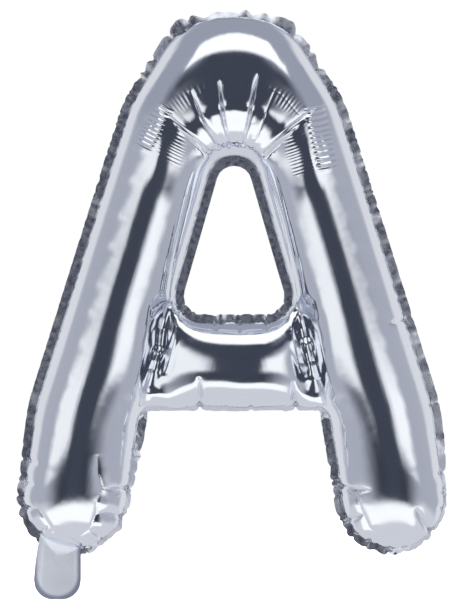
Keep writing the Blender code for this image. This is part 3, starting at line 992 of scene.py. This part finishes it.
def split_near(faces, kinds, fields, normals, near):
    """Halve the mesh size near the folds. Faces there come out in four, their neighbours in two or three."""
    edges, numbers = sides_of(faces)
    split = near[edges].all(axis=1)
    count = len(fields[0])
    middle = np.where(split, count + np.cumsum(split) - 1, -1)
    first, second = edges[split].T
    finer = []
    for field in fields:
        half = (field[first] + field[second]) / 2
        finer.append(np.concatenate([field, half]))
    shape = fields[0]
    centre = (shape[first] + shape[second]) / 2
    for end in (first, second):
        depth = ((centre - shape[end]) * normals[end]).sum(axis=1, keepdims=True)
        finer[0][count:] -= depth * normals[end] / 4
    ab, bc, ca = middle[numbers].T
    a, b, c = faces.T
    parts = []
    flags = (ab >= 0).astype(int) + 2 * (bc >= 0) + 4 * (ca >= 0)
    for turn in range(3):
        one, two = (1, 2, 4)[turn], (3, 6, 5)[turn]
        corners = np.roll(faces, -turn, axis=1)
        middles = np.roll(middle[numbers], -turn, axis=1)
        a, b, c = corners[flags == one].T
        ab = middles[flags == one, 0]
        of_one = kinds[flags == one]
        parts += [(np.stack([a, ab, c], axis=1), of_one), (np.stack([ab, b, c], axis=1), of_one)]
        a, b, c = corners[flags == two].T
        ab, bc = middles[flags == two, :2].T
        of_two = kinds[flags == two]
        parts += [
            (np.stack([ab, b, bc], axis=1), of_two),
            (np.stack([a, ab, bc], axis=1), of_two),
            (np.stack([a, bc, c], axis=1), of_two),
        ]
    whole, none = flags == 7, flags == 0
    a, b, c = faces[whole].T
    ab, bc, ca = middle[numbers[whole]].T
    for corners in ((a, ab, ca), (ab, b, bc), (ca, bc, c), (ab, bc, ca)):
        parts.append((np.stack(corners, axis=1), kinds[whole]))
    parts.append((faces[none], kinds[none]))
    return np.concatenate([part[0] for part in parts]), np.concatenate([part[1] for part in parts]), finer


def inflate():
    """The finished film: places, faces and kinds of face."""
    noise = np.random.default_rng(7)
    base, faces, kinds = smooth_letter()
    offset = noise.normal(0, 0.0002, base.shape)
    for level in range(1, LEVELS):
        faces, kinds, (base, offset) = subdivide(faces, kinds, (base, offset))
        offset = offset + noise.normal(0, 0.00003, offset.shape)
        shape = designed_shape(base, faces, kinds)
        spare = spare_film(shape, nearest_rim(shape))
        places = blow_up(shape + offset, shape, faces, kinds, spare, STEPS[level - 1])
        offset = places - shape
    for grade in range(len(FOLD_REACHES)):
        normals = film_normals(base, faces, kinds)
        near = near_folds(base, grade)
        faces, kinds, (base, offset) = split_near(faces, kinds, (base, offset), normals, near)
    places = designed_shape(base, faces, kinds) + offset
    return with_lobes(places, base, rim_terms(base)), faces, kinds


# Materials

LEG_LEAN = 0.292
STREAK_STRETCH = 0.035
STREAK_DEPTH = 0.000025
WAVE_DEPTH = 0.00012
WELD_DOT_DEPTH = 0.00001
WELD_DENT_DEPTH = 0.00022


def along_legs(tree):
    """Places stretched along the legs, for streaks that run down them."""
    split = tree.nodes.new("ShaderNodeSeparateXYZ")
    tree.links.new(tree.nodes.new("ShaderNodeTexCoord").outputs["Object"], split.inputs[0])
    lean = link_math(tree, "MULTIPLY", split.outputs["Z"], LEG_LEAN)
    joined = tree.nodes.new("ShaderNodeCombineXYZ")
    aside = link_math(tree, "ABSOLUTE", split.outputs["X"])
    tree.links.new(link_math(tree, "ADD", aside, lean), joined.inputs["X"])
    tree.links.new(link_math(tree, "MULTIPLY", split.outputs["Y"], 0.6), joined.inputs["Y"])
    tree.links.new(link_math(tree, "MULTIPLY", split.outputs["Z"], STREAK_STRETCH), joined.inputs["Z"])
    return joined.outputs[0]


def noise_field(tree, place, scale, detail):
    noise = tree.nodes.new("ShaderNodeTexNoise")
    noise.inputs["Scale"].default_value = scale
    noise.inputs["Detail"].default_value = detail
    tree.links.new(place, noise.inputs["Vector"])
    return noise.outputs["Fac"]


def add_bumps(tree, layers):
    """Bumps one on the other: pairs of a height field and its depth in metres."""
    normal = None
    for height, distance in layers:
        bump = tree.nodes.new("ShaderNodeBump")
        bump.inputs["Strength"].default_value = 1.0
        bump.inputs["Distance"].default_value = distance
        tree.links.new(height, bump.inputs["Height"])
        if normal is not None:
            tree.links.new(normal, bump.inputs["Normal"])
        normal = bump.outputs["Normal"]
    tree.links.new(normal, tree.nodes["Principled BSDF"].inputs["Normal"])


def mirror_film():
    """Bright film with faint streaks down the legs, fine waviness and a few dull scuffs."""
    surface = foil_material("foil", (0.86, 0.89, 0.95), 0.08)
    tree = surface.node_tree
    place = tree.nodes.new("ShaderNodeTexCoord").outputs["Object"]
    streaks = noise_field(tree, along_legs(tree), 420, 2)
    waves = noise_field(tree, place, 60, 2)
    add_bumps(tree, ((streaks, STREAK_DEPTH), (waves, WAVE_DEPTH)))
    tree.links.new(varied(tree, 35, 4, 0.06, 0.14), tree.nodes["Principled BSDF"].inputs["Roughness"])
    return surface


def weld_film():
    """Two films welded together: duller, with fine embossed dots and small dents."""
    surface = foil_material("weld", (0.78, 0.81, 0.88), 0.30)
    tree = surface.node_tree
    place = tree.nodes.new("ShaderNodeTexCoord").outputs["Object"]
    dots = tree.nodes.new("ShaderNodeTexVoronoi")
    dots.inputs["Scale"].default_value = 1100
    tree.links.new(place, dots.inputs["Vector"])
    dents = noise_field(tree, place, 130, 1)
    add_bumps(tree, ((dots.outputs["Distance"], WELD_DOT_DEPTH), (dents, WELD_DENT_DEPTH)))
    tree.links.new(varied(tree, 300, 2, 0.20, 0.40), tree.nodes["Principled BSDF"].inputs["Roughness"])
    return surface


def foil_material(name, tint, roughness):
    surface = bpy.data.materials.new(name)
    surface.use_nodes = True
    shader = surface.node_tree.nodes["Principled BSDF"]
    shader.inputs["Base Color"].default_value = (*tint, 1.0)
    shader.inputs["Roughness"].default_value = roughness
    shader.inputs["Metallic"].default_value = 1.0
    return surface


def link_math(tree, operation, first, second=0.0):
    node = tree.nodes.new("ShaderNodeMath")
    node.operation = operation
    for socket, value in zip(node.inputs, (first, second)):
        if isinstance(value, (int, float)):
            socket.default_value = value
        else:
            tree.links.new(value, socket)
    return node.outputs[0]


def square(tree, value):
    return link_math(tree, "MULTIPLY", value, value)


def varied(tree, scale, detail, low, high):
    """A number that wanders over the surface between low and high."""
    place = tree.nodes.new("ShaderNodeTexCoord").outputs["Object"]
    noise = tree.nodes.new("ShaderNodeTexNoise")
    noise.inputs["Scale"].default_value = scale
    noise.inputs["Detail"].default_value = detail
    tree.links.new(place, noise.inputs["Vector"])
    spread_out = tree.nodes.new("ShaderNodeMapRange")
    tree.links.new(noise.outputs["Fac"], spread_out.inputs["Value"])
    spread_out.inputs["From Min"].default_value = 0.3
    spread_out.inputs["From Max"].default_value = 0.7
    spread_out.inputs["To Min"].default_value = low
    spread_out.inputs["To Max"].default_value = high
    return spread_out.outputs["Result"]


# Pieces

def add_piece(name, places, faces, material):
    mesh = bpy.data.meshes.new(name)
    mesh.from_pydata(places.tolist(), [], faces.tolist())
    mesh.shade_smooth()
    mesh.materials.append(material)
    piece = bpy.data.objects.new(name, mesh)
    bpy.context.scene.collection.objects.link(piece)
    return piece


def part_of(places, faces, chosen):
    used, numbers = np.unique(faces[chosen], return_inverse=True)
    return places[used], numbers.reshape(-1, 3)


def build_film():
    places, faces, kinds = inflate()
    foil = mirror_film()
    weld = weld_film()
    for kind, name, node, material, slot in (
        (FRONT, "front_foil_sheet", "front_foil_panel", foil, "foil"),
        (BACK, "back_foil_sheet", "back_foil_panel", foil, "foil"),
        (OUTER_BAND, "outer_weld", "outer_seam_band", weld, "weld"),
        (COUNTER_BAND, "counter_weld", "counter_seam_band", weld, "weld"),
    ):
        piece = add_piece(name, *part_of(places, faces, kinds == kind), material)
        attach(piece, "envelope")
        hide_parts(node)


# Filling tail

TAIL_CENTRE = -0.1130
TAIL_WIDTH = 0.0300
TAIL_END = -0.3775
TAIL_END_RADIUS = 0.0120
TAIL_COLUMNS = 40
TAIL_ROWS = 60
TAIL_FILLET = 0.0032
TAIL_V_REACH = 0.0075
TAIL_NARROWING = 0.30
TAIL_TUCK = 0.0012
TAIL_V_LEAST = 0.0012
PLY_OFFSET = 0.0005
CHANNEL_PUFF = 0.0004
WELD_SHARE = 0.80
VALVE_WIDTH = 0.0200
VALVE_TOP = -0.3480
VALVE_STEP = 0.0015
TAIL_WAVE = 0.0005


def grid_faces(rows, columns):
    corner = np.arange(rows * columns).reshape(rows, columns)
    faces = np.stack([corner[:-1, :-1], corner[:-1, 1:], corner[1:, 1:], corner[1:, :-1]], axis=-1)
    return faces.reshape(-1, 4)


def foot_rim_height(x):
    """Height of the weld's inner line under the left foot."""
    line = rounded_loop(film_corners("outer"), RIM_STEP)[0]
    low = line[(line[:, 0] < -0.085) & (line[:, 1] < -0.325) & (line[:, 0] > -0.1380)]
    order = np.argsort(low[:, 0])
    return np.interp(x, low[order, 0], low[order, 1])


def tail_end_height(x, half_width, end):
    """Height of the tail's rounded lower end at each place across it."""
    into_corner = np.clip(abs(x - TAIL_CENTRE) - (half_width - TAIL_END_RADIUS), 0, TAIL_END_RADIUS)
    return end + TAIL_END_RADIUS - np.sqrt(TAIL_END_RADIUS ** 2 - into_corner ** 2)


def tail_wave(x, z):
    """Slow waves that both plies and the valve film share, none at the fold."""
    down = np.clip((-0.352 - z) / 0.026, 0, 1)
    return TAIL_WAVE * down * (np.sin(260 * z + 0.8) + 0.7 * np.sin(190 * x + 1.1)) - 0.0016 * down ** 2


def tail_ply(side):
    """One ply: it leaves the foot's film with a fillet that ends in a V, then hangs flat."""
    across, down = np.meshgrid(np.linspace(-1, 1, TAIL_COLUMNS), np.linspace(0, 1, TAIL_ROWS))
    narrow = np.where(across < 0, TAIL_NARROWING * (1 - down) ** 1.5, 0)
    x = TAIL_CENTRE + across * (1 - narrow) * TAIL_WIDTH / 2
    fillet = TAIL_FILLET * np.sqrt(np.clip(1 - across ** 2, 0, 1))
    top = foot_rim_height(x) + TAIL_TUCK
    z = top + (tail_end_height(x, TAIL_WIDTH / 2, TAIL_END) - top) * down ** 1.2
    reach = TAIL_V_LEAST + TAIL_V_REACH * (1 - abs(across))
    left = np.clip(1 - (top - z) / reach, 0, 1)
    puff = CHANNEL_PUFF * np.clip((WELD_SHARE - abs(across)) / 0.12, 0, 1)
    puff = puff * np.clip((z - TAIL_END) / 0.010, 0, 1)
    y = side * (PLY_OFFSET + puff + fillet * left ** 1.6) + tail_wave(x, z)
    return np.stack([x, y, z], axis=-1).reshape(-1, 3), grid_faces(TAIL_ROWS, TAIL_COLUMNS)


def valve_strip():
    across, down = np.meshgrid(np.linspace(-1, 1, TAIL_COLUMNS), np.linspace(0, 1, TAIL_ROWS))
    x = TAIL_CENTRE + across * VALVE_WIDTH / 2
    z = VALVE_TOP + (tail_end_height(x, TAIL_WIDTH / 2, TAIL_END + VALVE_STEP) - VALVE_TOP) * down
    return np.stack([x, tail_wave(x, z), z], axis=-1).reshape(-1, 3), grid_faces(TAIL_ROWS, TAIL_COLUMNS)


def tail_material():
    """Satin film with the faint cross grain of the heat weld, and a darker bluish rim that is partly the
    weld border and partly painted shade of the edges.
    """
    surface = foil_material("tail_foil", (0.90, 0.92, 0.95), 0.36)
    tree = surface.node_tree
    tree.nodes["Principled BSDF"].inputs["Metallic"].default_value = 0.55
    bump = tree.nodes.new("ShaderNodeBump")
    bump.inputs["Strength"].default_value = 0.25
    bump.inputs["Distance"].default_value = 0.0003
    tree.links.new(varied(tree, 500, 3, 0, 1), bump.inputs["Height"])
    shader = tree.nodes["Principled BSDF"]
    tree.links.new(bump.outputs["Normal"], shader.inputs["Normal"])
    tree.links.new(varied(tree, 160, 2, 0.46, 0.58), shader.inputs["Roughness"])
    split = tree.nodes.new("ShaderNodeSeparateXYZ")
    tree.links.new(tree.nodes.new("ShaderNodeTexCoord").outputs["Object"], split.inputs[0])
    aside = link_math(tree, "ABSOLUTE", link_math(tree, "SUBTRACT", split.outputs["X"], TAIL_CENTRE))
    below = link_math(tree, "SUBTRACT", TAIL_END + TAIL_WIDTH / 2, split.outputs["Z"])
    below = link_math(tree, "MAXIMUM", below, 0.0)
    squared = link_math(tree, "ADD", square(tree, aside), square(tree, below))
    from_middle = link_math(tree, "POWER", squared, 0.5)
    # Darker bluish rim round the sides and the round end: partly the weld border, partly painted shade of
    # the edges turning away from the light.
    edge = tree.nodes.new("ShaderNodeMapRange")
    edge.interpolation_type = "SMOOTHSTEP"
    edge.inputs["From Min"].default_value = TAIL_WIDTH / 2 - 0.0034
    edge.inputs["From Max"].default_value = TAIL_WIDTH / 2 - 0.0006
    tree.links.new(from_middle, edge.inputs["Value"])
    mix = tree.nodes.new("ShaderNodeMix")
    mix.data_type = "RGBA"
    tree.links.new(edge.outputs["Result"], mix.inputs["Factor"])
    mix.inputs["A"].default_value = (0.91, 0.94, 1.00, 1.0)
    mix.inputs["B"].default_value = (0.34, 0.37, 0.48, 1.0)
    tree.links.new(mix.outputs["Result"], shader.inputs["Base Color"])
    return surface


def valve_material():
    surface = bpy.data.materials.new("valve_plastic")
    surface.use_nodes = True
    tree = surface.node_tree
    shader = tree.nodes["Principled BSDF"]
    shader.inputs["Base Color"].default_value = (0.80, 0.85, 0.90, 1.0)
    shader.inputs["Transmission Weight"].default_value = 0.7
    tree.links.new(varied(tree, 220, 2, 0.12, 0.24), shader.inputs["Roughness"])
    return surface


def build_tail():
    tail = tail_material()
    plies = ((-1, "tail_front_ply", "filling_tail_front"), (1, "tail_back_ply", "filling_tail_back"))
    for side, name, node in plies:
        places, faces = tail_ply(side)
        piece = add_piece(name, places, faces if side < 0 else faces[:, ::-1], tail)
        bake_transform(piece)
        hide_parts(node)
    valve = add_piece("valve_film_strip", *valve_strip(), valve_material())
    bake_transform(valve)
    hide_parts("valve_film")


# Studio

CAMERA_DISTANCE = 2.0
VIEW_CENTRE = pixel(235.5, 300)
VIEW_HEIGHT = 600 * 0.00064
SENSOR = 36.0


def add_camera():
    camera = bpy.data.cameras.new("camera")
    camera.sensor_width = SENSOR
    camera.lens = SENSOR * CAMERA_DISTANCE / VIEW_HEIGHT
    place = bpy.data.objects.new("camera", camera)
    place.location = (VIEW_CENTRE[0], -CAMERA_DISTANCE, VIEW_CENTRE[1])
    place.rotation_euler = (math.radians(90), 0, 0)
    bpy.context.scene.collection.objects.link(place)
    bpy.context.scene.camera = place


def soft_step(tree, value, start, end):
    """0 before start and 1 after end, in degrees."""
    node = tree.nodes.new("ShaderNodeMapRange")
    node.interpolation_type = "SMOOTHSTEP"
    tree.links.new(value, node.inputs["Value"])
    node.inputs["From Min"].default_value = start
    node.inputs["From Max"].default_value = end
    return node.outputs["Result"]


def soft_window(tree, value, start, end, soft):
    rise = soft_step(tree, value, start - soft, start + soft)
    fall = soft_step(tree, value, end - soft, end + soft)
    return link_math(tree, "SUBTRACT", rise, fall)


# Brightness round the room at eye height: position from 0, at the camera, to 1, behind the balloon
ROOM = (
    (0.0, 0.060),
    (0.08, 0.060),
    (0.12, 0.42),
    (0.56, 0.46),
    (0.63, 0.76),
    (0.80, 0.76),
    (0.90, 0.36),
    (1.0, 0.32),
)


def cool(brightness):
    """A studio grey: the darker it is, the bluer."""
    darkness = 1.0 - min(brightness, 1.0)
    red = brightness * (1.0 - 0.14 * darkness ** 3)
    blue = brightness * (1.0 + 0.45 * darkness ** 2)
    return (red, brightness, blue)


def add_world():
    """Studio seen in the foil: a dark strip behind the camera, soft boxes round it, a pale back."""
    world = bpy.data.worlds.new("studio")
    bpy.context.scene.world = world
    world.use_nodes = True
    tree = world.node_tree
    background = tree.nodes["Background"]
    direction = tree.nodes.new("ShaderNodeTexCoord").outputs["Generated"]
    split = tree.nodes.new("ShaderNodeSeparateXYZ")
    tree.links.new(direction, split.inputs[0])
    to_camera = link_math(tree, "MULTIPLY", split.outputs["Y"], -1.0)
    turn = link_math(tree, "DEGREES", link_math(tree, "ARCTAN2", split.outputs["X"], to_camera))
    rise = link_math(tree, "DEGREES", link_math(tree, "ARCSINE", split.outputs["Z"]))
    round_turn = link_math(tree, "ABSOLUTE", turn)
    ramp = tree.nodes.new("ShaderNodeValToRGB")
    tree.links.new(link_math(tree, "DIVIDE", round_turn, 180.0), ramp.inputs[0])
    elements = ramp.color_ramp.elements
    while len(elements) < len(ROOM):
        elements.new(0.5)
    for element, (position, brightness) in zip(elements, ROOM):
        element.position = position
        element.color = (*cool(brightness), 1.0)
    height = link_math(tree, "MAXIMUM", split.outputs["Z"], 0.02)
    aside = link_math(tree, "DIVIDE", split.outputs["X"], height)
    ahead = link_math(tree, "DIVIDE", to_camera, height)
    bent = link_math(tree, "SUBTRACT", aside, 0.08)
    bent = link_math(tree, "SUBTRACT", ahead, link_math(tree, "MULTIPLY", square(tree, bent), 0.60))
    colour = ramp.outputs["Color"]
    for first, left, right, soft, second, low, high, soft_up, brightness in (
        (turn, -400, 400, 1, rise, -95, -30, 8, 0.68),
        (turn, -112, 112, 8, rise, 22, 50, 7, 0.36),
        (turn, -400, 400, 1, rise, 42, 95, 7, 0.36),
        (turn, -60, -20, 7, rise, -14, 13, 5, 0.96),
        (turn, 19, 52, 8, rise, -14, 11, 5, 1.04),
        (turn, -42, 38, 20, rise, -39, -15, 5, 0.050),
        (turn, -13, 12, 7, rise, -39, 14, 4, 0.060),
        (turn, -32, 32, 13, rise, 12, 55, 10, 0.056),
        (turn, -52, 50, 13, rise, 19, 34, 7, 0.060),
        (bent, 0.10, 9, 0.06, ahead, -1, 0.92, 0.15, 1.22),
        (turn, -66, 56, 10, rise, -55, -38, 3, 1.12),
    ):
        mask = link_math(
            tree,
            "MULTIPLY",
            soft_window(tree, first, left, right, soft),
            soft_window(tree, second, low, high, soft_up),
        )
        mix = tree.nodes.new("ShaderNodeMix")
        mix.data_type = "RGBA"
        tree.links.new(mask, mix.inputs["Factor"])
        tree.links.new(colour, mix.inputs["A"])
        mix.inputs["B"].default_value = (*cool(brightness), 1.0)
        colour = mix.outputs["Result"]
    seen = tree.nodes.new("ShaderNodeLightPath").outputs["Is Camera Ray"]
    backdrop = tree.nodes.new("ShaderNodeMix")
    backdrop.data_type = "RGBA"
    tree.links.new(seen, backdrop.inputs["Factor"])
    tree.links.new(colour, backdrop.inputs["A"])
    backdrop.inputs["B"].default_value = (1.0, 1.0, 1.0, 1.0)
    tree.links.new(backdrop.outputs["Result"], background.inputs["Color"])


FLOOR_HEIGHT = -0.3800
FLOOR_RADIUS = 0.60
FLOOR_CENTRE = (0.0, 0.35)
FLOOR_SIDES = 96


def floor_material():
    """Pale matt floor that fades out towards its edge."""
    surface = bpy.data.materials.new("floor")
    surface.use_nodes = True
    tree = surface.node_tree
    shader = tree.nodes["Principled BSDF"]
    shader.inputs["Roughness"].default_value = 0.7
    shader.inputs["Base Color"].default_value = (0.92, 0.92, 0.93, 1.0)
    place = tree.nodes.new("ShaderNodeTexCoord").outputs["Object"]
    radius = tree.nodes.new("ShaderNodeVectorMath")
    radius.operation = "LENGTH"
    tree.links.new(place, radius.inputs[0])
    fade = soft_step(tree, radius.outputs["Value"], FLOOR_RADIUS, FLOOR_RADIUS * 0.7)
    tree.links.new(fade, shader.inputs["Alpha"])
    return surface


def add_floor():
    mesh = bpy.data.meshes.new("floor")
    angles = np.arange(FLOOR_SIDES) * 2 * math.pi / FLOOR_SIDES
    rim = [(FLOOR_RADIUS * math.cos(angle), FLOOR_RADIUS * math.sin(angle), 0.0) for angle in angles]
    mesh.from_pydata(rim, [], [tuple(range(FLOOR_SIDES))])
    mesh.materials.append(floor_material())
    floor = bpy.data.objects.new("floor", mesh)
    floor.location = (*FLOOR_CENTRE, FLOOR_HEIGHT)
    bpy.context.scene.collection.objects.link(floor)
    floor.visible_glossy = False


def add_overhead_light():
    """Wide soft light for the floor; the foil sees the studio's own soft boxes instead."""
    light = bpy.data.lights.new("overhead", "AREA")
    light.size = 1.6
    light.energy = 75
    place = bpy.data.objects.new("overhead", light)
    place.location = (0.0, 0.1, 1.4)
    place.visible_camera = False
    place.visible_glossy = False
    bpy.context.scene.collection.objects.link(place)


add_camera()
add_world()
add_floor()
add_overhead_light()
bpy.context.scene.view_settings.view_transform = "Standard"
build_film()
build_tail()
